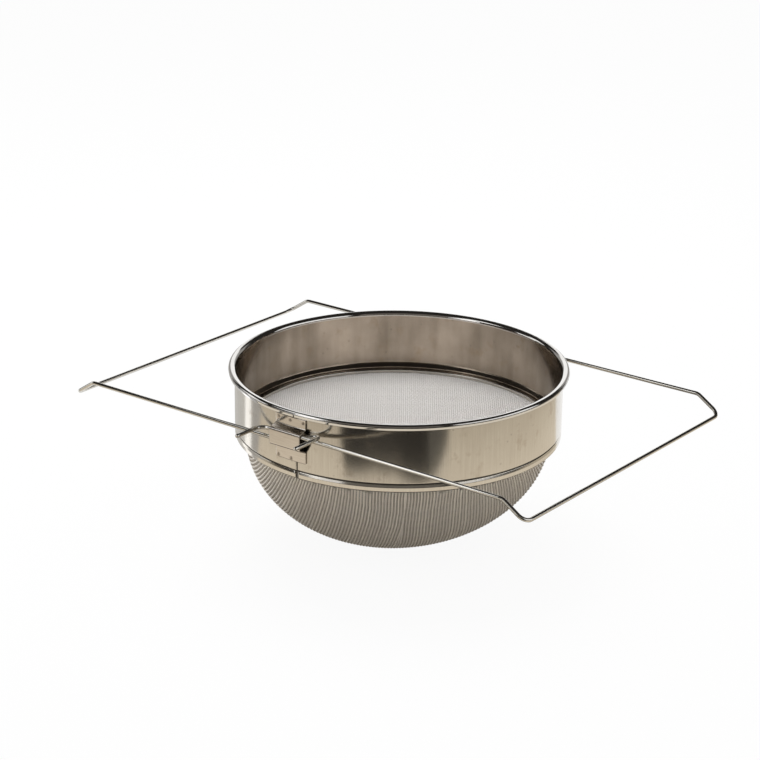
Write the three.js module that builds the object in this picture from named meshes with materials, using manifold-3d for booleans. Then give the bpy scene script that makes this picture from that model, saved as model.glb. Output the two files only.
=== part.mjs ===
// Double honey strainer: a flat coarse sieve nested in a bowl-shaped fine sieve, with two sliding wire arms.
// Sizes are in millimetres. +Z is up, and the origin is the middle of the bowl's flat base.
import * as THREE from 'three';
import { mergeGeometries, mergeVertices } from 'three/addons/utils/BufferGeometryUtils.js';
import Module from 'manifold-3d';

// Bands of both sieves, with their outward rolled rims
const bandDiameter = 230.4;
const bandHeight = 38.5;
const sheet = 0.7;
const rimOverhang = 4.8;
const rimHeight = 2.45;
const rimLeaf = 3.3;
const rimNose = 1.05;
const nestGap = 0.3;
const seatGap = 0.3;

// Fine mesh bowl and the hoop that clamps its edge
const bowlDepth = 77.3;
const bowlBaseRadius = 24;
const bowlShoulder = 6.1;
const fineMeshThickness = 0.8;
const bowlColumns = 20;
const bowlBarShare = 0.3;
const hoopHeight = 5;
const hoopThickness = 0.8;
const hoopSplit = 1.1;
const hoopSplitAcross = 1.9;

// Flat coarse net, the lip it lies on and the ring that presses it down
const lipWidth = 3.4;
const netThickness = 1;
const netPitch = 13.2;
const netWire = 1.3;
const pressRingWidth = 2.5;
const pressRingHeight = 3;

// Wire arms
const wireDiameter = 2.8;
const laneGap = 0.3;
const wallGap = 0.2;
const wireDrop = 11.3;
const armSpacing = 6.1;
const leftReach = 198.5;
const rightReach = 189.5;
const dropRun = 17.5;
const dropHeight = 11.5;
const bendRadius = 7;
const hookLength = 25.6;
const rearHookLength = 14;
const leftHookAcross = 25;
const rightHookAcross = -25;
const hookLift = 3.5;
const crossingStart = -8;
const crossingEnd = 9;
const crossingRise = 5.3;

// Brackets that guide the arms
const bracketWidth = 26;
const bracketOffset = 2.8;
const bracketSheet = 0.8;
const bracketWebDrop = 2.7;
const bracketSpare = 2.3;
const bracketFlange = 8;
const rimClearance = 0.5;

// Facets
const roundSteps = 60;
const bowlSteps = 8;
const edgeSteps = 4;
const bendSteps = 4;
const wireSides = 8;
const weldDistance = 1e-4;

// Radii, from the outside in
const bandRadius = bandDiameter / 2;
const rimRadius = bandRadius + rimOverhang;
const hoopInner = bandRadius - hoopThickness;
const upstandOuter = hoopInner - seatGap;
const upstandInner = upstandOuter - fineMeshThickness;
const lowerHemOuter = upstandInner - seatGap;
const lowerHemInner = lowerHemOuter - sheet;
const upperRadius = bandRadius - sheet - nestGap;
const upperHemOuter = lowerHemInner - nestGap;
const upperHemInner = upperHemOuter - sheet;
const netRadius = upperHemInner - seatGap;
const pressRingInner = netRadius - pressRingWidth;
const lipInner = upperHemOuter - lipWidth;
const bowlRadius = upstandOuter - bowlShoulder;

// Heights, from the base up
const hoopBottom = bowlDepth;
const crease = hoopBottom + hoopHeight + seatGap;
const rimSeat = crease + bandHeight;
const lowerRimTop = rimSeat + rimHeight;
const upperRimTop = lowerRimTop + seatGap + rimHeight;
const lowerHemBottom = hoopBottom + seatGap;
const upperHemBottom = lowerHemBottom + nestGap;
const netBottom = upperHemBottom + sheet + seatGap;
const pressRingBottom = netBottom + netThickness + seatGap;
const rightWireHeight = rimSeat - wireDrop;
const leftWireHeight = rightWireHeight - armSpacing;

// Lanes of the wires beside the wall, measured out from the middle
const wireRadius = wireDiameter / 2;
const innerLane = bandRadius + wallGap + wireRadius;
const outerLane = innerLane + wireDiameter + laneGap;

const brightSteel = new THREE.MeshStandardMaterial({ color: 0xb7b0a4, roughness: 0.2, metalness: 1 });
const wireSteel = new THREE.MeshStandardMaterial({ color: 0xa9a49b, roughness: 0.25, metalness: 1 });
const wovenSteel = new THREE.MeshStandardMaterial({ color: 0x8f877b, roughness: 0.45, metalness: 0.9 });

const wasm = await Module();
wasm.setup();

// A closed geometry as a solid that can be cut
function toSolid(geometry) {
  const bare = geometry.index ? geometry.toNonIndexed() : geometry.clone();
  bare.deleteAttribute('normal');
  bare.deleteAttribute('uv');
  const merged = mergeVertices(bare, weldDistance);
  return new wasm.Manifold(new wasm.Mesh({
    numProp: 3,
    vertProperties: new Float32Array(merged.attributes.position.array),
    triVerts: new Uint32Array(merged.index.array),
  }));
}

// The cut solid as a geometry again
function toGeometry(solid) {
  const mesh = solid.getMesh();
  const geometry = new THREE.BufferGeometry();
  geometry.setAttribute('position', new THREE.BufferAttribute(mesh.vertProperties, 3));
  geometry.setIndex(new THREE.BufferAttribute(mesh.triVerts, 1));
  geometry.computeVertexNormals();
  return geometry;
}

// A profile of [radius, height] points turned about the Z axis
function turned(profile) {
  const points = profile.map(([radius, height]) => new THREE.Vector2(radius, height));
  return new THREE.LatheGeometry(points, roundSteps).rotateX(Math.PI / 2);
}

// The rolled edge of a band: over the top, round the outside and back under, left open towards the wall
function rolledRim(wallOuter, top) {
  const edge = rimHeight / 2;
  const round = [];
  for (let step = 0; step <= edgeSteps; step += 1) {
    const angle = Math.PI / 2 - (Math.PI * step) / edgeSteps;
    round.push([rimRadius - edge + edge * Math.cos(angle), top - edge + edge * Math.sin(angle)]);
  }
  const slotOuter = rimRadius - rimNose;
  return [
    ...round,
    [rimRadius - rimLeaf, top - rimHeight],
    [rimRadius - rimLeaf, top - rimHeight + sheet],
    [slotOuter, top - rimHeight + sheet],
    [slotOuter, top - sheet],
    [wallOuter, top - sheet],
  ];
}

// The fine sieve's band: rim, wall, a ledge at the crease and the hem that the mesh is folded round
function lowerBand() {
  const wallInner = bandRadius - sheet;
  return turned([
    [lowerHemInner, lowerHemBottom],
    [lowerHemInner, crease + sheet],
    [wallInner, crease + sheet],
    [wallInner, lowerRimTop],
    ...rolledRim(bandRadius, lowerRimTop),
    [bandRadius, crease],
    [lowerHemOuter, crease],
    [lowerHemOuter, lowerHemBottom],
    [lowerHemInner, lowerHemBottom],
  ].reverse());
}

// The coarse sieve's band: like the other, one size smaller, with a lip under the net
function upperBand() {
  const wallInner = upperRadius - sheet;
  const ledge = crease + sheet + nestGap;
  return turned([
    [lipInner, upperHemBottom],
    [lipInner, upperHemBottom + sheet],
    [upperHemInner, upperHemBottom + sheet],
    [upperHemInner, ledge + sheet],
    [wallInner, ledge + sheet],
    [wallInner, upperRimTop],
    ...rolledRim(upperRadius, upperRimTop),
    [upperRadius, ledge],
    [upperHemOuter, ledge],
    [upperHemOuter, upperHemBottom],
    [lipInner, upperHemBottom],
  ].reverse());
}

// Openings in the bowl, far fewer and larger than the cloth's: a row to every two steps of the bowl's curve.
// A block in angles round the bowl and down its curve is bent to a piece of the bowl, with room on both sides.
function bowlOpenings(start, fall, end) {
  const rowAngle = (2 * end) / bowlSteps;
  const columnAngle = (2 * Math.PI) / bowlColumns;
  const facetMiddle = Math.PI / roundSteps;
  const share = 1 - bowlBarShare;
  const room = 6 * fineMeshThickness;
  const openings = [];
  for (let row = 0; row < bowlSteps / 2; row += 1) {
    for (let column = 0; column < bowlColumns; column += 1) {
      const block = new THREE.BoxGeometry(columnAngle * share, rowAngle * share, 2 * room);
      block.translate(column * columnAngle + facetMiddle, (row + 0.5) * rowAngle, 0);
      const places = block.attributes.position;
      for (let index = 0; index < places.count; index += 1) {
        const around = places.getX(index);
        const along = places.getY(index);
        const radius = (bowlRadius - places.getZ(index)) * Math.cos(along);
        const depth = (fall - places.getZ(index)) * Math.sin(along);
        places.setXYZ(index, radius * Math.cos(around), radius * Math.sin(around), start - depth);
      }
      openings.push(block);
    }
  }
  return mergeGeometries(openings);
}

// The fine mesh: a shell of half an ellipse with a flat base, a shoulder and an edge turned up behind the hoop
function fineMesh() {
  const start = hoopBottom - fineMeshThickness;
  const end = Math.acos(bowlBaseRadius / bowlRadius);
  const fall = start / Math.sin(end);
  const wall = (radius, top) => {
    const points = [];
    for (let step = 0; step <= bowlSteps; step += 1) {
      const angle = (end * step) / bowlSteps;
      points.push([radius * Math.cos(angle), top - fall * Math.sin(angle)]);
    }
    return points;
  };
  const outside = wall(bowlRadius, start);
  const inside = wall(bowlRadius - fineMeshThickness, hoopBottom);
  const edgeTop = crease - seatGap;
  const shell = turned([
    [0, 0],
    ...outside.reverse(),
    [upstandOuter, start],
    [upstandOuter, edgeTop],
    [upstandInner, edgeTop],
    [upstandInner, hoopBottom],
    ...inside,
    [0, fineMeshThickness],
  ]);
  return toGeometry(toSolid(shell).subtract(toSolid(bowlOpenings(start, fall, end))));
}

// The clamping hoop: a flat strip bent round, with a small gap where its ends meet at the front
function splitHoop() {
  const middle = Math.asin(hoopSplitAcross / bandRadius) - Math.PI / 2;
  const half = hoopSplit / 2 / bandRadius;
  const outline = new THREE.Shape();
  outline.absarc(0, 0, bandRadius, middle + half, middle - half + 2 * Math.PI, false);
  outline.absarc(0, 0, hoopInner, middle - half + 2 * Math.PI, middle + half, true);
  outline.closePath();
  const settings = { depth: hoopHeight, bevelEnabled: false, curveSegments: roundSteps / 2 };
  return new THREE.ExtrudeGeometry(outline, settings).translate(0, 0, hoopBottom);
}

// The net: a thin disc with square gaps in rows, as far out as whole gaps fit inside the pressing ring
function coarseNet() {
  const gap = netPitch - netWire;
  const count = Math.ceil(netRadius / netPitch);
  const gaps = [];
  for (let row = -count; row < count; row += 1) {
    for (let column = -count; column < count; column += 1) {
      const x = (column + 0.5) * netPitch;
      const y = (row + 0.5) * netPitch;
      const corner = Math.hypot(Math.abs(x) + gap / 2, Math.abs(y) + gap / 2);
      if (corner < pressRingInner - netWire) {
        gaps.push(new THREE.BoxGeometry(gap, gap, netThickness * 2).translate(x, y, netThickness / 2));
      }
    }
  }
  const disc = new THREE.CylinderGeometry(netRadius, netRadius, netThickness, roundSteps);
  disc.rotateX(Math.PI / 2).translate(0, 0, netThickness / 2);
  const net = toSolid(disc).subtract(toSolid(mergeGeometries(gaps)));
  return toGeometry(net).translate(0, 0, netBottom);
}

function pressRing() {
  const top = pressRingBottom + pressRingHeight;
  return turned([
    [pressRingInner, pressRingBottom],
    [netRadius, pressRingBottom],
    [netRadius, top],
    [pressRingInner, top],
    [pressRingInner, pressRingBottom],
  ]);
}

// A hat-section clip: two flanges on the wall and a tunnel for both wires, at the +Y side
function bracket() {
  const flangeOuter = bandRadius + seatGap + bracketSheet;
  const faceInner = outerLane + wireRadius + laneGap;
  const faceOuter = faceInner + bracketSheet;
  const slope = bracketWebDrop / (faceOuter - flangeOuter);
  const webSkin = bracketSheet * Math.hypot(1, slope);
  const reach = outerLane - flangeOuter;
  const topBend = rightWireHeight + wireRadius + laneGap + webSkin + slope * reach;
  const lowBend = leftWireHeight - wireRadius - bracketSpare - webSkin - slope * reach;
  const farSide = bracketWidth / 2 + bracketOffset;
  const root = Math.sqrt((bandRadius + seatGap) ** 2 - farSide ** 2) - bracketSheet;
  const inward = (out) => webSkin + slope * (out - flangeOuter);
  const outline = new THREE.Shape([
    [root, rimSeat - rimClearance],
    [root, topBend - inward(root)],
    [faceInner, topBend - inward(faceInner)],
    [faceInner, lowBend + inward(faceInner)],
    [root, lowBend + inward(root)],
    [root, lowBend - bracketFlange],
    [flangeOuter, lowBend - bracketFlange],
    [flangeOuter, lowBend],
    [faceOuter, lowBend + bracketWebDrop],
    [faceOuter, topBend - bracketWebDrop],
    [flangeOuter, topBend],
    [flangeOuter, rimSeat - rimClearance],
  ].map(([out, height]) => new THREE.Vector2(out, height)));
  const clip = new THREE.ExtrudeGeometry(outline, { depth: bracketWidth, bevelEnabled: false });
  clip.applyMatrix4(new THREE.Matrix4().makeBasis(
    new THREE.Vector3(0, 1, 0),
    new THREE.Vector3(0, 0, 1),
    new THREE.Vector3(1, 0, 0),
  ));
  clip.translate(bracketOffset - bracketWidth / 2, 0, 0);
  const wall = new THREE.CylinderGeometry(bandRadius + seatGap, bandRadius + seatGap, rimSeat * 2, roundSteps);
  wall.rotateX(Math.PI / 2).translate(0, 0, rimSeat);
  return toGeometry(toSolid(clip).subtract(toSolid(wall)));
}

// A wire's middle line, followed from station to station
class WireLine extends THREE.Curve {
  constructor(stations) {
    super();
    this.stations = stations;
  }

  getPoint(t, target = new THREE.Vector3()) {
    const place = t * (this.stations.length - 1);
    const index = Math.min(Math.floor(place), this.stations.length - 2);
    return target.lerpVectors(this.stations[index], this.stations[index + 1], place - index);
  }

  getPointAt(u, target) {
    return this.getPoint(u, target);
  }

  getTangentAt(u, target = new THREE.Vector3()) {
    const last = this.stations.length - 1;
    const index = Math.round(u * last);
    const before = this.stations[Math.max(index - 1, 0)];
    const here = this.stations[index];
    const after = this.stations[Math.min(index + 1, last)];
    const arriving = here.clone().sub(before).normalize();
    return target.copy(after).sub(here).normalize().add(arriving).normalize();
  }
}

// Stations along straight runs between corners, with each corner rounded to the bend radius
function roundedRun(corners) {
  const stations = [corners[0]];
  for (let index = 1; index < corners.length - 1; index += 1) {
    const corner = corners[index];
    const arriving = corner.clone().sub(corners[index - 1]).normalize();
    const leaving = corners[index + 1].clone().sub(corner).normalize();
    const turn = arriving.angleTo(leaving);
    const length = bendRadius * Math.tan(turn / 2);
    const toMiddle = leaving.clone().sub(arriving).normalize();
    const middle = corner.clone().addScaledVector(toMiddle, bendRadius / Math.cos(turn / 2));
    const spoke = corner.clone().addScaledVector(arriving, -length).sub(middle);
    for (let step = 0; step <= bendSteps; step += 1) {
      const angle = (turn * step) / bendSteps;
      const along = arriving.clone().multiplyScalar(bendRadius * Math.sin(angle));
      stations.push(middle.clone().addScaledVector(spoke, Math.cos(angle)).add(along));
    }
  }
  stations.push(corners[corners.length - 1]);
  return stations;
}

// One arm bent from one wire: the front half's corners, and the same corners mirrored to the back,
// where the hook is shorter
function bentArm(frontCorners) {
  const front = frontCorners.map(([x, out, z]) => new THREE.Vector3(x, -out, z));
  const back = frontCorners.map(([x, out, z]) => new THREE.Vector3(x, out, z)).reverse();
  back[back.length - 1].y -= hookLength - rearHookLength;
  const stations = roundedRun([...front, ...back]);
  const section = new THREE.Shape();
  section.absarc(0, 0, wireRadius, 0, 2 * Math.PI, false);
  return new THREE.ExtrudeGeometry(section, {
    steps: stations.length - 1,
    curveSegments: wireSides / 2,
    extrudePath: new WireLine(stations),
  });
}

// The left arm runs in the lower lane, and its end climbs behind the right arm's wire and hooks out over it
function leftArm() {
  const hookHeight = rightWireHeight + hookLift;
  return bentArm([
    [leftHookAcross, outerLane + hookLength, hookHeight],
    [leftHookAcross, innerLane, hookHeight],
    [crossingEnd, innerLane, leftWireHeight + crossingRise],
    [crossingStart, outerLane, leftWireHeight],
    [dropRun - leftReach, outerLane, leftWireHeight],
    [-leftReach, outerLane, leftWireHeight - dropHeight],
  ]);
}

// The right arm runs straight in the upper lane, and its end hooks out over the left arm's wire
function rightArm() {
  return bentArm([
    [rightHookAcross, outerLane + hookLength, rightWireHeight],
    [rightHookAcross, outerLane, rightWireHeight],
    [rightReach - dropRun, outerLane, rightWireHeight],
    [rightReach, outerLane, rightWireHeight - dropHeight],
  ]);
}

function piece(name, geometry, material) {
  const mesh = new THREE.Mesh(geometry, material);
  mesh.name = name;
  return mesh;
}

const lowerSieve = new THREE.Group();
const frontBracket = piece('front_bracket', bracket(), brightSteel);
frontBracket.rotation.z = Math.PI;
lowerSieve.add(
  piece('lower_band', lowerBand(), brightSteel),
  piece('fine_mesh', fineMesh(), wovenSteel),
  piece('fine_mesh_hoop', splitHoop(), brightSteel),
  frontBracket,
  piece('rear_bracket', bracket(), brightSteel),
);

const upperSieve = new THREE.Group();
upperSieve.add(
  piece('upper_band', upperBand(), brightSteel),
  piece('coarse_mesh', coarseNet(), wovenSteel),
  piece('coarse_mesh_ring', pressRing(), brightSteel),
);

const strainer = new THREE.Group();
strainer.add(
  lowerSieve,
  upperSieve,
  piece('left_arm', leftArm(), wireSteel),
  piece('right_arm', rightArm(), wireSteel),
);

export default strainer;
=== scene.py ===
import bpy
import numpy as np
from mathutils import Matrix, Vector


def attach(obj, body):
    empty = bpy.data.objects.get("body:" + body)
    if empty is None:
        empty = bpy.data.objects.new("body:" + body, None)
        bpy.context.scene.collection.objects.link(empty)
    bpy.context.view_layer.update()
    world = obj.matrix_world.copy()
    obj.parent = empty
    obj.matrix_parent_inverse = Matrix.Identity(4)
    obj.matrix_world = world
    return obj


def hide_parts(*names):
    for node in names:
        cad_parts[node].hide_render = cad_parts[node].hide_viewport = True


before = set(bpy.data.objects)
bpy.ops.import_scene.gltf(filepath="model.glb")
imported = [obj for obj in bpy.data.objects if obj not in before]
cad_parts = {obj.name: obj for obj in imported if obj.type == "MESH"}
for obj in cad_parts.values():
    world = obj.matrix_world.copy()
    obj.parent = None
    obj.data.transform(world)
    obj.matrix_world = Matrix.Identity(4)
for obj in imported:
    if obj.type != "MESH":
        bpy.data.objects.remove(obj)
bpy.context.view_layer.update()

# The view: a camera about 1.6 m off, 20 degrees above the rim and to the right of the front bracket.
# A short telephoto lens takes it in, held almost level.
photo_side = 760
focal_pixels = 2304
eye = Vector((0.9110, -1.2151, 0.6749))
forward = Vector((-0.5692, 0.7456, -0.3466)).normalized()
roll = np.radians(0.69)
level = forward.cross(Vector((0, 0, 1))).normalized()
rise = level.cross(forward)
right = level * np.cos(roll) + rise * np.sin(roll)
up = rise * np.cos(roll) - level * np.sin(roll)
lens = bpy.data.cameras.new("photo_camera")
lens.sensor_width = 36
lens.lens = lens.sensor_width * focal_pixels / photo_side
camera = bpy.data.objects.new("photo_camera", lens)
camera.matrix_world = Matrix.Translation(eye) @ Matrix((right, up, -forward)).transposed().to_4x4()
bpy.context.scene.collection.objects.link(camera)
bpy.context.scene.camera = camera
bpy.context.scene.view_settings.view_transform = "Standard"


# The light: an even white studio with a large soft lamp overhead, a white floor and a white background.
# Polished steel mirrors its surroundings, so a warm table top, a dark room above it and soft boxes to the
# left and right stand round the strainer as cards that only reflections see.
class Value:
    """A socket of a node tree. Arithmetic between values and numbers adds Math nodes to the tree."""

    def __init__(self, tree, socket=None):
        self.tree = tree
        self.socket = socket

    def feed(self, node, sockets):
        """Sets each named or numbered socket of a node to a number or colour, or links it to a value."""
        for name, value in sockets.items():
            if isinstance(value, Value):
                self.tree.links.new(value.socket, node.inputs[name])
            else:
                node.inputs[name].default_value = value

    def node(self, kind, settings, sockets, output=0):
        """Adds a node of any kind: its settings first, with a ramp's stops among them, then its sockets."""
        made = self.tree.nodes.new(kind)
        for name, setting in settings.items():
            if name == "stops":
                elements = made.color_ramp.elements
                for place, shade in setting[2:]:
                    elements.new(place)
                for element, (place, shade) in zip(elements, setting):
                    element.position = place
                    element.color = (*shade, 1)
            else:
                setattr(made, name, setting)
        self.feed(made, sockets)
        return Value(self.tree, made.outputs[output] if made.outputs else None)

    def maths(self, operation, first, second):
        return self.node("ShaderNodeMath", {"operation": operation}, {0: first, 1: second})

    def __add__(self, other):
        return self.maths("ADD", self, other)

    def __radd__(self, other):
        return self.maths("ADD", other, self)

    def __sub__(self, other):
        return self.maths("SUBTRACT", self, other)

    def __rsub__(self, other):
        return self.maths("SUBTRACT", other, self)

    def __mul__(self, other):
        return self.maths("MULTIPLY", self, other)

    def __rmul__(self, other):
        return self.maths("MULTIPLY", other, self)

    def mix(self, start, end):
        """From one colour to another as this value goes from 0 to 1."""
        return self.node("ShaderNodeMix", {"data_type": "RGBA"}, {0: self, 6: start, 7: end}, 2)


def surface(name, grid, material, loops=(False, False), caps=False):
    """A mesh through a grid of points. Neighbours join into four-cornered faces, and a looped direction
    joins its last row to its first. Caps close the first and last row with faces that pair each point
    with the one opposite. The map named surface holds the mean distance along both directions, in metres.
    A closed mesh whose signed volume is negative is turned inside out."""
    rows, columns = grid.shape[:2]
    ahead = np.concatenate([grid, grid[:1]]) if loops[0] else grid
    beside = np.concatenate([grid, grid[:, :1]], 1) if loops[1] else grid
    along = np.append(0, np.linalg.norm(np.diff(ahead, axis=0), axis=2).mean(1).cumsum())
    across = np.append(0, np.linalg.norm(np.diff(beside, axis=1), axis=2).mean(0).cumsum())
    i, j = np.meshgrid(np.arange(len(along) - 1), np.arange(len(across) - 1), indexing="ij")
    i = np.stack([i, i + 1, i + 1, i], -1).reshape(-1, 4)
    j = np.stack([j, j, j + 1, j + 1], -1).reshape(-1, 4)
    if caps:
        m = np.arange(columns // 2 - 1)
        pair = np.stack([m, m + 1, columns - 2 - m, columns - 1 - m], -1)
        i = np.concatenate([i, np.zeros_like(pair), np.full_like(pair, rows - 1)])
        j = np.concatenate([j, pair, pair[:, ::-1]])
    faces = (i % rows) * columns + j % columns
    maps = np.stack([along[i], across[j]], -1)
    points = grid.reshape(-1, 3)
    corner = points[faces]
    volume = np.einsum("fk,fk->", corner[:, 0], np.cross(corner[:, 1], corner[:, 2]))
    volume += np.einsum("fk,fk->", corner[:, 0], np.cross(corner[:, 2], corner[:, 3]))
    if volume < 0:
        faces, maps = faces[:, ::-1], maps[:, ::-1]
    piece = put_in_mesh(name, points, faces, [material])
    layer = piece.data.uv_layers.new(name="surface")
    layer.uv.foreach_set("vector", maps.astype(np.float32).ravel())
    return piece


def put_in_mesh(name, points, faces, materials):
    """A new object at the origin from an array of points and an array of four-cornered faces."""
    mesh = bpy.data.meshes.new(name)
    mesh.vertices.add(len(points))
    mesh.vertices.foreach_set("co", points.astype(np.float32).ravel())
    mesh.loops.add(faces.size)
    mesh.loops.foreach_set("vertex_index", faces.astype(np.int32).ravel())
    mesh.polygons.add(len(faces))
    mesh.polygons.foreach_set("loop_start", np.arange(0, faces.size, 4, dtype=np.int32))
    mesh.polygons.foreach_set("use_smooth", np.ones(len(faces), bool))
    mesh.update(calc_edges=True)
    for material in materials:
        mesh.materials.append(material)
    piece = bpy.data.objects.new(name, mesh)
    bpy.context.scene.collection.objects.link(piece)
    return piece


def glow(name, stops):
    """A glow for a card, whatever light falls on it. Its colour goes by the distance from the strainer's
    middle, in metres."""
    material = bpy.data.materials.new(name)
    material.use_nodes = True
    material.node_tree.nodes.clear()
    root = Value(material.node_tree)
    place = root.node("ShaderNodeTexCoord", {}, {}, "Object")
    far = root.node("ShaderNodeVectorMath", {"operation": "LENGTH"}, {0: place}, 1)
    shade = root.node("ShaderNodeValToRGB", {"stops": stops}, {0: far})
    lit = root.node("ShaderNodeEmission", {}, {"Color": shade, "Strength": 1})
    root.node("ShaderNodeOutputMaterial", {}, {"Surface": lit})
    return material


def card(name, grid, colour, stops=()):
    """A sheet that only reflections see, of one colour or with nearer stops of other colours."""
    sheet = surface(name, grid, glow(name, [*stops, (0.44, colour), (1, colour)]))
    sheet.visible_camera = False
    sheet.visible_diffuse = False
    sheet.visible_transmission = False
    sheet.visible_shadow = False
    return sheet


to_camera = np.array([eye.x, eye.y, 0]) / np.hypot(eye.x, eye.y)
to_right = np.array([-to_camera[1], to_camera[0], 0])


def laid(name, near, far, height, colour, stops=()):
    """A flat card between two lines of places, given in metres towards the camera and to the right."""
    places = np.array([near, far], float)
    grid = places[..., :1] * to_camera + places[..., 1:] * to_right + [0, 0, height]
    return card(name, grid, colour, stops)


def domed(name, turn, climb, size, colour):
    """A card on a dome: points at a size from the middle, by their turn to the right from the camera and
    their climb above the floor."""
    place = (np.cos(climb) * np.cos(turn))[..., None] * to_camera
    place += (np.cos(climb) * np.sin(turn))[..., None] * to_right
    place += np.sin(climb)[..., None] * np.array([0, 0, 1])
    return card(name, place * size, colour)


room_colour = (0.022, 0.02, 0.018)
room_reach = 3
far_climb, far_edge, far_fade = 27, 142, 12
patch_layer, table_layer, edge_layer, floor_layer = -0.0003, -0.0006, -0.0009, -0.0012
turn, lift = np.meshgrid(np.radians(np.arange(-180, 181, 6)), np.linspace(0, 1, 13), indexing="ij")
horizon = np.radians(far_climb * np.clip((np.abs(np.degrees(turn)) - far_edge) / far_fade, 0, 1))
domed("room_card", turn, horizon + (np.pi / 2 - horizon) * lift, room_reach, room_colour)
# Each box has its turns and climbs in degrees, its distance in metres and its colour.
soft_boxes = [
    ("near_left_box_card", (-94, -64), (41, 60), 0.68, (1.25, 1.25, 1.25)),
    ("left_box_card", (-64, -47), (12, 51), 0.57, (1.4, 1.4, 1.4)),
    ("low_left_box_card", (-60, -36), (3, 18), 2.8, (0.9, 0.9, 0.9)),
    ("far_left_box_card", (-126, -112), (12, 32), 2.8, (1.1, 1.1, 1.1)),
    ("low_far_left_box_card", (-113, -94), (1, 21), 2.8, (1.1, 1.1, 1.1)),
    ("right_box_card", (38, 101), (5, 38), 2.8, (1.0, 1.0, 1.0)),
    ("front_box_card", (-55, 30), (4, 45), 2.9, (0.15, 0.14, 0.125)),
    ("far_side_card", (140, 220), (0, far_climb), 2.95, (0.35, 0.34, 0.33)),
    ("far_wall_card", (167, 193), (0, far_climb), 2.9, (1.15, 1.15, 1.15)),
]
for name, turns_seen, climbs_seen, size, colour in soft_boxes:
    across, upwards = np.linspace(*turns_seen, 13), np.linspace(*climbs_seen, 9)
    turn, climb = np.meshgrid(np.radians(across), np.radians(upwards), indexing="ij")
    domed(name, turn, climb, size, colour)
laid("room_floor_card", [(0.6, -3), (0.6, 3)], [(3, -3), (3, 3)], edge_layer, room_colour)
# Within 0.19 m of the middle the table card turns dark: painted shadow of the strainer on the table top.
laid("table_card", [(0.62, -3), (0.62, -0.18), (0.62, 0.15), (0.62, 3)],
     [(-0.55, -3), (-0.003, -0.18), (-0.077, 0.15), (-2.662, 3)], table_layer, (0.54, 0.48, 0.385),
     [(0.19, (0.17, 0.155, 0.135)), (0.25, (0.8, 0.72, 0.6)), (0.29, (0.8, 0.72, 0.6))])
laid("left_edge_card", [(-0.003, -0.18), (-0.012, -0.19)], [(-0.55, -3), (-1.83, -3)], edge_layer,
     (0.46, 0.45, 0.435))
laid("left_strip_card", [(-0.012, -0.19), (-0.05, -0.19)], [(-1.83, -3), (-2.55, -3)], edge_layer,
     (1.4, 1.4, 1.4))
laid("far_left_card", [(-0.05, -0.19), (-0.19, -0.05)], [(-2.55, -3), (-3, -0.8)], edge_layer,
     (0.62, 0.61, 0.59))
laid("dark_patch_card", [(0.335, -0.235), (0.285, -0.16), (0.33, -0.077), (0.335, -0.009), (0.305, 0.058),
                         (0.3, 0.1)],
     [(0.65, -0.48), (0.65, -0.34), (0.65, -0.14), (0.65, -0.02), (0.65, 0.11), (0.65, 0.19)], patch_layer,
     (0.03, 0.028, 0.025))
laid("dim_patch_card", [(0.3, 0.1), (0.31, 0.135), (0.345, 0.2)],
     [(0.65, 0.19), (0.65, 0.26), (0.65, 0.38)], patch_layer, (0.1, 0.094, 0.083))


def shown(root):
    """1 for what is seen straight, in a mirror or through a clear piece, and 0 for light that falls."""
    seen = root.node("ShaderNodeLightPath", {}, {}, "Is Camera Ray")
    mirrored = root.node("ShaderNodeLightPath", {}, {}, "Is Glossy Ray")
    through = root.node("ShaderNodeLightPath", {}, {}, "Is Transmission Ray")
    return root.maths("MAXIMUM", root.maths("MAXIMUM", seen, mirrored), through)


fill_light = 0.7
world = bpy.data.worlds.new("studio")
world.use_nodes = True
bpy.context.scene.world = world
root = Value(world.node_tree)
root.feed(world.node_tree.nodes["Background"],
          {"Color": (1, 1, 1, 1), "Strength": shown(root) * (1 - fill_light) + fill_light})

lamp = bpy.data.lights.new("soft_lamp", "AREA")
lamp.size = 0.9
lamp.energy = 10.5
lamp_stand = bpy.data.objects.new("soft_lamp", lamp)
lamp_stand.location = (-0.5, 0.35, 1.3)
lamp_stand.visible_glossy = False
aim = Vector((0, 0, 0.08)) - lamp_stand.location
lamp_stand.rotation_euler = aim.to_track_quat("-Z", "Y").to_euler()
bpy.context.scene.collection.objects.link(lamp_stand)

floor_whiteness = 0.93
floor_material = bpy.data.materials.new("white_floor")
floor_material.use_nodes = True
floor_material.node_tree.nodes.clear()
root = Value(floor_material.node_tree)
paper = root.node("ShaderNodeBsdfDiffuse", {}, {"Color": (0.9, 0.9, 0.9, 1)})
white = root.node("ShaderNodeEmission", {}, {"Color": (1, 1, 1, 1), "Strength": 1})
mixed = root.node("ShaderNodeMixShader", {}, {0: shown(root) * floor_whiteness, 1: paper, 2: white})
root.node("ShaderNodeOutputMaterial", {}, {"Surface": mixed})
reach = np.array([-6.0, 6.0])
floor_x, floor_y = np.meshgrid(reach, reach, indexing="ij")
floor_grid = np.stack([floor_x, floor_y, np.full_like(floor_x, floor_layer)], -1)
floor = surface("floor", floor_grid, floor_material)

# The lower band: a strip of polished stainless sheet rolled into a ring and lapped at the front.
# Its top is curled outwards into a rim, and its foot steps in to a hem that the fine mesh is folded round.
mm = 0.001
band_radius = 115.2 * mm
sheet = 0.45 * mm
rim_radius = 119.45 * mm
rim_height = 1.9 * mm
rim_leaf = 1.4 * mm
rim_nose = 0.6 * mm
crease = 82.9 * mm
lower_rim_top = 124.15 * mm
lower_hem_outer = 113.0 * mm
lower_hem_bottom = 77.6 * mm
seam_across = 1.9 * mm
lap = 0.35 * mm
lap_width = 9 * mm
lap_slope = 1.6
turns = 480


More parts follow.
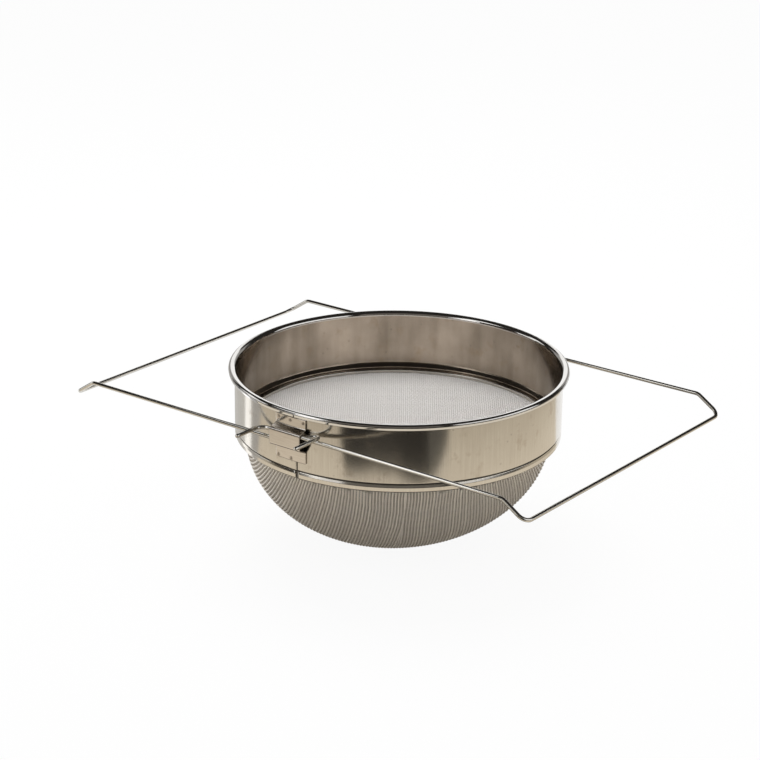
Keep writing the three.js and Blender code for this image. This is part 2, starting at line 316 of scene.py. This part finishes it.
def rounded(corners, steps=5, margin=0.3 * mm):
    """A closed outline from corners of (radius, height, rounding): each corner becomes an arc that touches
    both its sides, and each straight run gets points near its ends and along it, to keep it flat."""
    corners = np.array(corners, float)
    place, rounding = corners[:, :2], corners[:, 2:]
    arriving = place - np.roll(place, 1, 0)
    arriving /= np.linalg.norm(arriving, axis=1, keepdims=True)
    leaving = np.roll(arriving, -1, 0)
    bend = np.arccos(np.clip((arriving * leaving).sum(1, keepdims=True), -1, 1))
    inward = (leaving - arriving) / np.linalg.norm(leaving - arriving, axis=1, keepdims=True)
    middle = place + inward * rounding / np.cos(bend / 2)
    spoke = place - arriving * rounding * np.tan(bend / 2) - middle
    part = bend[:, None] * np.linspace(0, 1, steps + 1)[None, :, None]
    arcs = middle[:, None] + spoke[:, None] * np.cos(part) + (arriving * rounding)[:, None] * np.sin(part)
    start, end = arcs[:, -1:], np.roll(arcs[:, :1], -1, 0)
    length = np.linalg.norm(end - start, axis=2, keepdims=True)
    near = np.minimum(margin / length, 0.2)
    share = np.concatenate([near, np.full_like(near, 0.35), np.full_like(near, 0.65), 1 - near], 1)
    return np.concatenate([arcs, start + (end - start) * share], 1).reshape(-1, 2)


def turned(name, outline, material, widen=0, start=0, gap=0):
    """A ring: a closed outline of (radius, height) carried round the vertical axis from the start angle.
    Widen adds to the radius, for each angle and each outline point. A gap leaves that angle open, with a
    cap at both ends."""
    last_step = gap or 0.002
    angle = start + np.linspace(last_step / 2, 2 * np.pi - last_step / 2, turns)[:, None]
    radius = outline[:, 0] + widen + 0 * angle
    height = np.broadcast_to(outline[:, 1], radius.shape)
    grid = np.stack([radius * np.cos(angle), radius * np.sin(angle), height], -1)
    return surface(name, grid, material, (not gap, True), caps=bool(gap))


def polished(name, light, dark, gloss, streak=(700, 30, 1), stain=0, relief=0.03, rim=0, seam=0,
             welded=False):
    """Polished stainless steel: fine polishing streaks along the map's second direction and cloudy tarnish.
    Where they are given, it has brown stains and dark specks, is rubbed bright above the height of the rim,
    has a nearly black line of painted shade in a seam of that width where the map starts, and is browned by
    welds as far as the attribute named burn says."""
    material = bpy.data.materials.new(name)
    material.use_nodes = True
    root = Value(material.node_tree)
    where = root.node("ShaderNodeUVMap", {"uv_map": "surface"}, {})
    place = root.node("ShaderNodeTexCoord", {}, {}, "Object")
    drawn = root.node("ShaderNodeMapping", {}, {"Vector": where, "Scale": streak})
    streaks = root.node("ShaderNodeTexNoise", {}, {"Vector": drawn, "Scale": 1, "Detail": 4})
    clouds = root.node("ShaderNodeTexNoise", {}, {"Vector": place, "Scale": 38, "Detail": 3})
    worn = streaks * 0.5 + clouds * 0.5
    tone = root.node("ShaderNodeMapRange", {}, {0: worn, 1: 0.3, 2: 0.7, 3: 0, 4: 1})
    colour = tone.mix((*light, 1), (*dark, 1))
    roughness = gloss + streaks * 0.04
    if stain:
        patchy = {"Vector": place, "Scale": 95, "Detail": 5, "Roughness": 0.62}
        blots = root.node("ShaderNodeTexNoise", {}, patchy)
        stains = root.node("ShaderNodeMapRange", {}, {0: blots, 1: 0.56, 2: 0.74, 3: 0, 4: stain})
        colour = stains.mix(colour, (0.30, 0.21, 0.12, 1))
        points = root.node("ShaderNodeTexVoronoi", {}, {"Vector": place, "Scale": 120})
        specks = root.node("ShaderNodeMapRange", {}, {0: points, 1: 0.05, 2: 0.11, 3: 0.8 * stain, 4: 0})
        colour = specks.mix(colour, (0.08, 0.07, 0.06, 1))
        roughness = roughness + stains * 0.2
    if rim:
        height = root.node("ShaderNodeSeparateXYZ", {}, {0: place}, 2)
        rubbed = root.node("ShaderNodeMapRange", {}, {0: height, 1: rim, 2: rim + 1.2 * mm, 3: 0, 4: 0.9})
        colour = rubbed.mix(colour, (0.76, 0.75, 0.73, 1))
        roughness = roughness - rubbed * (0.65 * gloss)
    # Painted shade: a nearly black line along the lapped seam, where the map starts.
    if seam:
        along = root.node("ShaderNodeSeparateXYZ", {}, {0: where}, 0)
        painted_seam_shade = root.node("ShaderNodeMapRange", {}, {0: along, 1: seam, 2: seam + 0.2 * mm, 3: 0.94, 4: 0})
        colour = painted_seam_shade.mix(colour, (0.02, 0.018, 0.015, 1))
    if welded:
        burn = root.node("ShaderNodeAttribute", {"attribute_name": "burn"}, {}, "Fac")
        colour = burn.mix(colour, (0.09, 0.06, 0.04, 1))
    scratches = {"Strength": relief, "Distance": 0.2 * mm, "Height": streaks}
    scratched = root.node("ShaderNodeBump", {}, scratches)
    root.feed(material.node_tree.nodes["Principled BSDF"],
              {"Base Color": colour, "Metallic": 1, "Roughness": roughness, "Normal": scratched})
    return material


# The lower band's steel, with a 0.9 mm line of painted shade along its lapped seam.
band_steel = polished("band_steel", (0.72, 0.69, 0.63), (0.62, 0.58, 0.52), 0.12, stain=0.25,
                      rim=121.5 * mm, seam=0.9 * mm)


def curl(top, wall_outer, over, under, tuck, dip=0, lean=0):
    """The rolled rim's corners, from the top round the nose and back under to the wall. Over and under
    are the roundings of the nose, tuck is that of the corner at the wall, dip is how much lower the rim is
    there, and lean is how far its outer face goes in towards its foot."""
    inner_nose = rim_radius - rim_nose
    return [
        (rim_radius, top, over),
        (rim_radius - lean, top - rim_height, under),
        (rim_radius - rim_leaf, top - rim_height, 0.2 * mm),
        (rim_radius - rim_leaf, top - rim_height + sheet, 0.2 * mm),
        (inner_nose, top - rim_height + sheet, 0.1 * mm),
        (inner_nose, top - sheet, over / 2),
        (wall_outer, top - sheet - dip, tuck),
    ]


lower_outline = rounded([
    (lower_hem_outer - sheet, lower_hem_bottom, 0.2 * mm),
    (lower_hem_outer - sheet, crease + sheet, 0.3 * mm),
    (band_radius - sheet, crease + sheet, 0.3 * mm),
    (band_radius - sheet, lower_rim_top, 0.6 * mm),
    *curl(lower_rim_top, band_radius, 0.15 * mm, 0.3 * mm, 0.3 * mm, lean=0.32 * mm),
    (band_radius, crease, 0.6 * mm),
    (lower_hem_outer, crease, 0.3 * mm),
    (lower_hem_outer, lower_hem_bottom, 0.2 * mm),
])
seam = np.arcsin(seam_across / band_radius) - np.pi / 2
to_seam = np.linspace(2 * np.pi, 0, turns)[:, None] * band_radius
on_wall = np.abs(lower_outline[:, 0] - band_radius + sheet / 2) < sheet
overlap = lap * np.clip(lap_slope - to_seam / lap_width * lap_slope, 0, 1) * on_wall[None]
lower_band = turned("lower_band_sheet", lower_outline, band_steel, overlap, seam)
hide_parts("lower_band")
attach(lower_band, "lower_sieve")

# The fine mesh: stainless wire cloth of stout warp wires, closely filled with thin weft, pressed into a
# bowl with a small flat bottom. It gives mostly by shearing, so that its crossings keep their distances
# along every wire. Its edge is folded up under the hoop.
bowl_radius = 107.7 * mm
bowl_top = 76.9 * mm
bowl_bottom = 0.7 * mm
bowl_base = 24 * mm
bowl_lean = -5.8 * mm
fine_pitch = 2.05 * mm
fine_stretch = 3.7
fine_fill = 2
warp_width, warp_thickness = 0.54, 0.85 * mm
weft_width, weft_thickness = 0.85, 0.3 * mm
weft_sunk, weft_swing = 0.2 * mm, 0.15 * mm
fine_turn = np.radians(40)


def meridian():
    """The bowl's profile as (length from the middle, radius, height): a flat, a quarter ellipse and a short
    upright edge behind the hoop."""
    fall = (bowl_top - bowl_bottom) / np.sin(np.arccos(bowl_base / bowl_radius))
    angle = np.linspace(np.arccos(bowl_base / bowl_radius), 0, 400)
    radius = np.concatenate([[0], bowl_radius * np.cos(angle), [bowl_radius]])
    height = np.concatenate([[bowl_bottom], bowl_top - fall * np.sin(angle), [bowl_top + 90 * mm]])
    length = np.append(0, np.hypot(np.diff(radius), np.diff(height)).cumsum())
    return length, radius, height


bowl_length, bowl_across, bowl_height = meridian()


def on_bowl(flat):
    """Points of the bowl from flat polar places: the distance from the middle is measured along the bowl.
    The bowl was pressed a little askew, so it leans more to one side the deeper it gets."""
    far = np.maximum(np.linalg.norm(flat, axis=-1, keepdims=True), 1e-9)
    radius = np.interp(far, bowl_length, bowl_across)
    height = np.interp(far, bowl_length, bowl_height)
    depth = np.clip((bowl_top - height) / (bowl_top - bowl_bottom), 0, 1)
    return np.concatenate([flat / far * radius + to_right[:2] * bowl_lean * depth ** 1.5, height], -1)


def draped(across, along):
    """One quarter of the cloth's crossings as flat places. Two wires run straight from the middle, with
    crossings at the given spots; every other crossing keeps those distances from both crossings before it,
    found by Newton steps on both distances, a whole diagonal at a time."""
    wide, long = np.diff(across, prepend=0), np.diff(along, prepend=0)
    flat = np.zeros((len(across), len(along), 2))
    flat[:, 0, 0], flat[0, :, 1] = across, along
    nudge = 1e-3 * wide[1]
    for diagonal in range(2, len(across) + len(along) - 1):
        i = np.arange(max(1, diagonal - len(along) + 1), min(diagonal, len(across)))
        j = diagonal - i
        before = on_bowl(flat[i - 1, j]), on_bowl(flat[i, j - 1])
        guess = flat[i - 1, j] + flat[i, j - 1] - flat[i - 1, j - 1]
        for _ in range(8):
            here = on_bowl(guess)
            moved = np.stack([on_bowl(guess + [nudge, 0]), on_bowl(guess + [0, nudge])], -1)
            slope = (moved - here[..., None]) / nudge
            gap = np.stack([here - before[0], here - before[1]], 1)
            miss = (gap ** 2).sum(-1) - np.stack([wide[i], long[j]], -1) ** 2
            (a, b), (c, d) = np.moveaxis(2 * np.einsum("nkx,nxy->nky", gap, slope), 0, -1)
            step = np.stack([miss[:, 0] * d - miss[:, 1] * b, miss[:, 1] * a - miss[:, 0] * c], -1)
            guess = guess - np.clip(step / (a * d - b * c)[:, None], -long[1] / 2, long[1] / 2)
        flat[i, j] = guess
    return flat


def wires(name, points, normals, over, keep, width, thickness, materials, corners=6):
    """Wires through the crossings of each row. A wire lies over or under the surface by the distance given
    at each crossing and is at its middle height between them. Each station carries the corners of the
    wire's section, an ellipse as wide as the row says, and both ends are closed. The wires take their
    materials by turns."""
    rows, columns = keep.shape
    line = np.zeros((rows, 2 * columns - 1, 3))
    above = np.zeros_like(line)
    here = np.zeros(line.shape[:2], bool)
    line[:, 0::2] = points + normals * over[..., None]
    line[:, 1::2] = (line[:, :-2:2] + line[:, 2::2]) / 2
    above[:, 0::2] = normals
    above[:, 1::2] = normals[:, :-1] + normals[:, 1:]
    here[:, 0::2] = keep
    here[:, 1::2] = keep[:, :-1] & keep[:, 1:]
    ahead = np.gradient(line, axis=1)
    side = np.cross(ahead, above)
    side /= np.maximum(np.linalg.norm(side, axis=2, keepdims=True), 1e-12)
    above = np.cross(side, ahead)
    above /= np.maximum(np.linalg.norm(above, axis=2, keepdims=True), 1e-12)
    corner = np.arange(corners) * 2 * np.pi / corners
    ring = above[:, :, None] * np.cos(corner)[:, None] * thickness / 2
    ring = ring + side[:, :, None] * np.sin(corner)[:, None] * np.reshape(width, (-1, 1, 1, 1)) / 2
    ring = ring + line[:, :, None]
    number = np.arange(ring[..., 0].size).reshape(ring.shape[:3])
    after = np.roll(number, -1, 2)
    joined = here[:, :-1] & here[:, 1:]
    sides = np.stack([number[:, :-1], after[:, :-1], after[:, 1:], number[:, 1:]], -1)[joined]
    first = here & ~np.pad(here, ((0, 0), (1, 0)))[:, :-1]
    last = here & ~np.pad(here, ((0, 0), (0, 1)))[:, 1:]
    m = np.arange(corners // 2 - 1)
    pair = np.stack([m, m + 1, corners - 2 - m, corners - 1 - m], -1)
    starts, ends = number[first][:, pair[:, ::-1]], number[last][:, pair]
    faces = np.concatenate([sides.reshape(-1, 4), starts.reshape(-1, 4), ends.reshape(-1, 4)])
    used, faces = np.unique(faces, return_inverse=True)
    faces = faces.reshape(-1, 4)
    piece = put_in_mesh(name, ring.reshape(-1, 3)[used], faces, materials)
    reel = (used[faces[:, 0]] // number[0].size * 7 % 11) % len(materials)
    piece.data.polygons.foreach_set("material_index", reel.astype(np.int32))
    return piece


def wire_reels(name, colours, gloss, metal):
    """One material for each reel of wire, each a little duller than the one before it."""
    reels = []
    for number, colour in enumerate(colours):
        material = bpy.data.materials.new(f"{name}_{number}")
        material.use_nodes = True
        root = Value(material.node_tree)
        root.feed(material.node_tree.nodes["Principled BSDF"],
                  {"Base Color": (*colour, 1), "Metallic": metal, "Roughness": gloss + 0.04 * number})
        reels.append(material)
    return reels


fine_count = 66
index = np.arange(1 - fine_count, fine_count)
filled = np.arange(1 - fine_count * fine_fill, fine_count * fine_fill)
spots = np.expm1(fine_stretch * fine_pitch * np.arange(fine_count * fine_fill) / fine_fill) / fine_stretch
quarter = draped(spots[::fine_fill], spots)
flat = quarter[np.abs(index)[:, None], np.abs(filled)[None]]
flat = flat * np.stack(np.broadcast_arrays(np.sign(index)[:, None], np.sign(filled)[None]), -1)
flat = flat @ np.array([[np.cos(fine_turn), np.sin(fine_turn)], [-np.sin(fine_turn), np.cos(fine_turn)]])
crossing = on_bowl(flat)
length = np.linalg.norm(flat, axis=-1)
ahead, behind = length + 0.2 * mm, length - 0.2 * mm
rise_rate = np.interp(ahead, bowl_length, bowl_height) - np.interp(behind, bowl_length, bowl_height)
out_rate = np.interp(ahead, bowl_length, bowl_across) - np.interp(behind, bowl_length, bowl_across)
outward = flat / np.maximum(length, 1e-9)[..., None] * rise_rate[..., None]
facing = np.concatenate([outward, -out_rate[..., None]], -1)
facing /= np.maximum(np.linalg.norm(facing, axis=-1, keepdims=True), 1e-12)
kept = crossing[..., 2] < bowl_top + 1.5 * mm
over = np.where((index[:, None] + filled[None]) % 2, -1, 1) * weft_swing - weft_sunk
warp_spacing = np.gradient(spots[::fine_fill])[np.abs(index)]
weft_spacing = np.gradient(spots)[np.abs(filled)]
warp_steel = wire_reels("fine_warp", [(0.8, 0.74, 0.65), (0.75, 0.69, 0.61), (0.85, 0.79, 0.69)], 0.35, 0.6)
# The weft is coloured darker than the warp: painted shade for the weft lying sunk between the warp wires.
weft_steel_painted_shade = wire_reels("fine_weft", [(0.5, 0.45, 0.38), (0.46, 0.41, 0.35)], 0.45, 0.5)
cloth = []
for part, rows in enumerate(np.array_split(np.arange(len(index)), 2)):
    sparse = np.s_[rows, ::4]
    cloth.append(wires(f"fine_mesh_warp_{part}", crossing[sparse], facing[sparse], 0 * over[sparse],
                       kept[sparse], warp_spacing[rows] * warp_width, warp_thickness, warp_steel))
for part, columns in enumerate(np.array_split(np.arange(len(filled)), 5)):
    crosswise = crossing[:, columns].swapaxes(0, 1), facing[:, columns].swapaxes(0, 1)
    cloth.append(wires(f"fine_mesh_weft_{part}", *crosswise, over[:, columns].T, kept[:, columns].T,
                       weft_spacing[columns] * weft_width, weft_thickness, weft_steel_painted_shade))
for piece in cloth:
    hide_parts("fine_mesh")
    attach(piece, "lower_sieve")
fold_inner, fold_outer = 107.2 * mm, 114.1 * mm
fold_bottom, fold_top = 76.5 * mm, 82.2 * mm
fold_thickness = 0.8 * mm
# The folded edge is coloured nearly black: painted shade for the hollow seen through the hoop's split.
fold = turned("fine_mesh_fold", rounded([
    (fold_inner, fold_bottom, 0.2 * mm),
    (fold_outer, fold_bottom, 0.3 * mm),
    (fold_outer, fold_top, 0.2 * mm),
    (fold_outer - fold_thickness, fold_top, 0.2 * mm),
    (fold_outer - fold_thickness, fold_bottom + fold_thickness, 0.2 * mm),
    (fold_inner, fold_bottom + fold_thickness, 0.2 * mm),
]), wire_reels("fine_fold_painted_shade", [(0.16, 0.145, 0.125)], 0.5, 0.6)[0])
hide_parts("fine_mesh")
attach(fold, "lower_sieve")

# The hoop: a flat strip of the same sheet bent round the folded edge of the fine mesh and pressed on.
# Its ends meet under the band's seam with a small gap. Its face is slightly crowned.
hoop_outer = 115.2 * mm
hoop_inner = 114.2 * mm
hoop_bottom = 77.3 * mm
hoop_top = 82.0 * mm
hoop_split = 2.0 * mm
hoop_crown = 0.5 * mm
hoop_shoulder = 1.8 * mm
hoop_steel = polished("hoop_steel", (0.76, 0.73, 0.67), (0.64, 0.6, 0.54), 0.12)
hoop = turned("hoop_strip", rounded([
    (hoop_inner, hoop_bottom, 0.1 * mm),
    (hoop_outer - 0.1 * mm, hoop_bottom, 0.25 * mm),
    (hoop_outer, hoop_top - hoop_shoulder, 1.2 * mm),
    (hoop_outer - hoop_crown, hoop_top, 0.2 * mm),
    (hoop_inner, hoop_top, 0.1 * mm),
]), hoop_steel, start=seam, gap=hoop_split / hoop_outer)
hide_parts("fine_mesh_hoop")
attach(hoop, "lower_sieve")

# The brackets: hat-section clips pressed from sheet, spot-welded to the band by both flanges.
# The tunnel between the flanges guides the wires of both arms.
bracket_sheet = 0.8 * mm
bracket_left, bracket_right = -15.8 * mm, 10.2 * mm
bracket_top, bracket_bottom = 120.6 * mm, 89.5 * mm
web_top, web_bottom = 113.8 * mm, 97.7 * mm
face_top, face_bottom = 111.0 * mm, 100.5 * mm
flange = 115.9 * mm
face = 122.0 * mm
bracket_bend = 1.0 * mm
upper_weld, lower_weld = 118.6 * mm, 91.1 * mm
weld_radius = 1.1 * mm
weld_depth = 0.22 * mm
weld_burn = 0.75


def followed(corners, bend, spacing):
    """A line through corners, each made an arc of the bend radius, with points at an even spacing."""
    corners = np.array(corners, float)
    arriving = corners[1:-1] - corners[:-2]
    leaving = corners[2:] - corners[1:-1]
    arriving /= np.linalg.norm(arriving, axis=1, keepdims=True)
    leaving /= np.linalg.norm(leaving, axis=1, keepdims=True)
    turn = np.arccos(np.clip((arriving * leaving).sum(1, keepdims=True), -1, 1))
    inward = (leaving - arriving) / np.linalg.norm(leaving - arriving, axis=1, keepdims=True)
    middle = corners[1:-1] + inward * bend / np.cos(turn / 2)
    spoke = corners[1:-1] - arriving * bend * np.tan(turn / 2) - middle
    part = turn[:, None] * np.linspace(0, 1, 13)[None, :, None]
    arcs = middle[:, None] + spoke[:, None] * np.cos(part) + (arriving * bend)[:, None] * np.sin(part)
    line = np.concatenate([corners[:1], arcs.reshape(-1, corners.shape[1]), corners[-1:]])
    length = np.append(0, np.linalg.norm(np.diff(line, axis=0), axis=1).cumsum())
    places = np.linspace(0, length[-1], int(length[-1] / spacing) + 1)
    return np.stack([np.interp(places, length, line[:, axis]) for axis in range(line.shape[1])], -1)


bracket_steel = polished("bracket_steel", (0.78, 0.73, 0.68), (0.66, 0.61, 0.55), 0.08, (60, 700, 1),
                         stain=0.12, relief=0.015, welded=True)


def bracket(welds):
    """A hat-shaped line of (out, height) carried across the bracket's width, half the sheet's thickness to
    both sides of it. The flanges follow the band's round wall, and each weld is a shallow round dent. Also
    gives how far each point is browned by the welds."""
    line = followed([(flange, bracket_top), (flange, web_top), (face, face_top), (face, face_bottom),
                     (flange, web_bottom), (flange, bracket_bottom)], bracket_bend, 0.35 * mm)
    ahead = np.gradient(line, axis=0)
    normal = np.stack([-ahead[:, 1], ahead[:, 0]], -1) / np.linalg.norm(ahead, axis=1, keepdims=True)
    normal *= np.sign(normal[0, 0])
    x = np.linspace(bracket_left, bracket_right, 75)[:, None]
    on_flange = np.clip((face - line[:, 0]) / (face - flange), 0, 1)
    round_wall = np.sqrt(flange ** 2 - x ** 2) - flange
    sides = []
    burns = []
    for way in (1, -1):
        out = line[:, 0] + way * normal[:, 0] * bracket_sheet / 2 + round_wall * on_flange
        height = np.broadcast_to(line[:, 1] + way * normal[:, 1] * bracket_sheet / 2, out.shape)
        burn = np.zeros_like(out)
        for weld_x, weld_height in welds:
            far = np.hypot(x - weld_x, height - weld_height) / weld_radius
            out = out - weld_depth * np.exp(-far ** 4)
            burn = burn + weld_burn * np.exp(-far ** 2)
        sides.append(np.stack([np.broadcast_to(x, out.shape), -out, height], -1)[:, ::way])
        burns.append(burn[:, ::way])
    return np.concatenate(sides, 1), np.concatenate(burns, 1)


front_welds = [(-12.75 * mm, upper_weld), (-2.66 * mm, upper_weld), (8.3 * mm, upper_weld),
               (-13.4 * mm, lower_weld), (-1.85 * mm, lower_weld)]
front_grid, burn = bracket(front_welds)
front_bracket = surface("front_bracket_clip", front_grid, bracket_steel, (False, True), caps=True)
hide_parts("front_bracket")
rear_grid = front_grid * [-1, -1, 1]
rear_bracket = surface("rear_bracket_clip", rear_grid, bracket_steel, (False, True), caps=True)
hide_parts("rear_bracket")
for clip in (front_bracket, rear_bracket):
    layer = clip.data.attributes.new("burn", "FLOAT", "POINT")
    layer.data.foreach_set("value", burn.astype(np.float32).ravel())
    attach(clip, "lower_sieve")

# The upper band: made like the lower one, one size smaller, so that it nests inside it and its rim rests
# on the lower rim. A lip at its foot carries the coarse mesh. Its steel is coloured darker and browner than
# the lower band's, in coarse upright bands, with brown stains and dark specks.
upper_radius = 114.65 * mm
upper_rim_top = 126.25 * mm
rim_dip = 0.6 * mm
upper_hem_outer = 112.0 * mm
upper_hem_bottom = 77.9 * mm
upper_ledge = 83.5 * mm
lip_inner = 108.6 * mm
upper_outline = rounded([
    (lip_inner, upper_hem_bottom, 0.2 * mm),
    (lip_inner, upper_hem_bottom + sheet, 0.2 * mm),
    (upper_hem_outer - sheet, upper_hem_bottom + sheet, 0.3 * mm),
    (upper_hem_outer - sheet, upper_ledge, 0.5 * mm),
    (upper_radius - sheet, upper_ledge + 2.6 * mm, 1.6 * mm),
    (upper_radius - sheet, upper_rim_top - rim_dip, 2.4 * mm),
    *curl(upper_rim_top, upper_radius, 1.75 * mm, 0.1 * mm, 2.0 * mm, rim_dip),
    (upper_radius, upper_ledge + 2.3 * mm, 0.5 * mm),
    (upper_hem_outer, upper_ledge - 0.3 * mm, 0.3 * mm),
    (upper_hem_outer, upper_hem_bottom, 0.2 * mm),
])
upper_steel = polished("upper_band_steel", (0.52, 0.44, 0.36), (0.25, 0.21, 0.165), 0.14, (70, 8, 1),
                       stain=0.4, rim=122.5 * mm)
upper_band = turned("upper_band_sheet", upper_outline, upper_steel)
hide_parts("upper_band")
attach(upper_band, "upper_sieve")

# The coarse mesh: flat plain-woven stainless wire cloth, cut to a disc and laid on the upper band's lip.
# Its wires are pressed a little flat where they cross.
coarse_height = 79.4 * mm
coarse_radius = 110.6 * mm
coarse_pitch = 1.5 * mm
coarse_wire = 0.85 * mm
coarse_thickness = 0.6 * coarse_wire
coarse_swing = 0.3 * coarse_wire
coarse_turn = np.radians(37)
coarse_count = int(coarse_radius / coarse_pitch)
index = np.arange(-coarse_count, coarse_count + 1)
flat = np.stack(np.meshgrid(index * coarse_pitch, index * coarse_pitch, indexing="ij"), -1)
flat = flat @ np.array([[np.cos(coarse_turn), np.sin(coarse_turn)],
                        [-np.sin(coarse_turn), np.cos(coarse_turn)]])
crossing = np.concatenate([flat, np.full((*flat.shape[:2], 1), coarse_height)], -1)
facing = np.zeros_like(crossing) + [0, 0, 1]
kept = np.linalg.norm(flat, axis=-1) < coarse_radius
over = np.where((index[:, None] + index[None]) % 2, -1, 1) * coarse_swing
coarse_colours = [(0.95, 0.92, 0.89), (0.92, 0.89, 0.86), (0.97, 0.94, 0.91)]
coarse_steel = wire_reels("coarse_wire", coarse_colours, 0.45, 0)
for part, rows in enumerate(np.array_split(np.arange(len(index)), 3)):
    warp = wires(f"coarse_mesh_warp_{part}", crossing[rows], facing[rows], over[rows], kept[rows],
                 coarse_wire, coarse_thickness, coarse_steel, 4)
    weft = wires(f"coarse_mesh_weft_{part}", crossing.swapaxes(0, 1)[rows], facing[rows], -over[rows],
                 kept.T[rows], coarse_wire, coarse_thickness, coarse_steel, 4)
    for cloth in (warp, weft):
        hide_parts("coarse_mesh")
        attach(cloth, "upper_sieve")

# The pressing ring: a square rod of steel, rounded on top and bent into a ring. It lies on the edge of the
# coarse mesh, which it holds on the lip.
ring_inner, ring_outer = 108.5 * mm, 111.0 * mm
ring_bottom, ring_top = 79.7 * mm, 82.4 * mm
ring_steel = polished("ring_steel", (0.72, 0.69, 0.65), (0.58, 0.55, 0.5), 0.16)
ring = turned("coarse_mesh_press_ring", rounded([
    (ring_inner, ring_bottom, 0.3 * mm),
    (ring_outer, ring_bottom, 0.3 * mm),
    (ring_outer, ring_top, 0.9 * mm),
    (ring_inner, ring_top, 0.9 * mm),
]), ring_steel)
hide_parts("coarse_mesh_ring")
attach(ring, "upper_sieve")

# The arms: each is one length of bright drawn stainless wire, bent over a mandrel into a frame with a
# lowered grip and two outward hooks, which stop it in the brackets.
wire_diameter = 2.8 * mm
inner_lane = 116.8 * mm
outer_lane = 119.9 * mm
arm_bend = 6.6 * mm
right_height = 109.8 * mm
left_height = 103.7 * mm
left_hook_height = right_height + 3.5 * mm
right_reach = 189.4 * mm
left_reach = 198.4 * mm
hook_place = 25 * mm
hook_out = outer_lane + 25.6 * mm
rear_hook_shorter = 11.6 * mm
drop_run = 17.5 * mm
drop_height = 11.5 * mm


def bent_wire(name, front_corners, material):
    """A round wire along a line of corners and their mirror image at the back, where the hook is shorter:
    rings of points at even stations, square to the line, with both ends slightly domed."""
    front = np.array(front_corners) * [1, -1, 1]
    back = front[::-1] * [1, -1, 1]
    back[-1, 1] -= rear_hook_shorter
    line = followed(np.concatenate([front, back]), arm_bend, 0.9 * mm)
    ahead = np.gradient(line, axis=0)
    ahead /= np.linalg.norm(ahead, axis=1, keepdims=True)
    side = np.cross(ahead, np.array([0.25, 0.2, 1.0]))
    side /= np.linalg.norm(side, axis=1, keepdims=True)
    over = np.cross(side, ahead)
    dome = np.array([0.45, 0.8, 0.95])
    size = np.concatenate([dome, np.ones(len(line) - 6), dome[::-1]])[:, None, None] * wire_diameter / 2
    line[:4] = line[:1] + (line[3] - line[0]) * np.array([0, 0.12, 0.3, 1])[:, None]
    line[-4:] = line[-1:] + (line[-4] - line[-1]) * np.array([1, 0.3, 0.12, 0])[:, None]
    angle = np.linspace(0, 2 * np.pi, 20, endpoint=False)[:, None]
    ring = side[:, None] * np.cos(angle) + over[:, None] * np.sin(angle)
    return surface(name, line[:, None] + ring * size, material, (False, True), caps=True)


wire_steel = polished("arm_wire_steel", (0.78, 0.76, 0.72), (0.7, 0.68, 0.63), 0.12, (20, 300, 1),
                      stain=0.1, relief=0)
left_arm = bent_wire("left_arm_wire", [
    (hook_place, hook_out, left_hook_height),
    (hook_place, inner_lane, left_hook_height),
    (9 * mm, inner_lane, left_height + 5.3 * mm),
    (-8 * mm, outer_lane, left_height),
    (drop_run - left_reach, outer_lane, left_height),
    (-left_reach, outer_lane, left_height - drop_height),
], wire_steel)
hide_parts("left_arm")
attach(left_arm, "left_arm")
right_arm = bent_wire("right_arm_wire", [
    (-hook_place, hook_out, right_height),
    (-hook_place, outer_lane, right_height),
    (right_reach - drop_run, outer_lane, right_height),
    (right_reach, outer_lane, right_height - drop_height),
], wire_steel)
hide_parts("right_arm")
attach(right_arm, "right_arm")
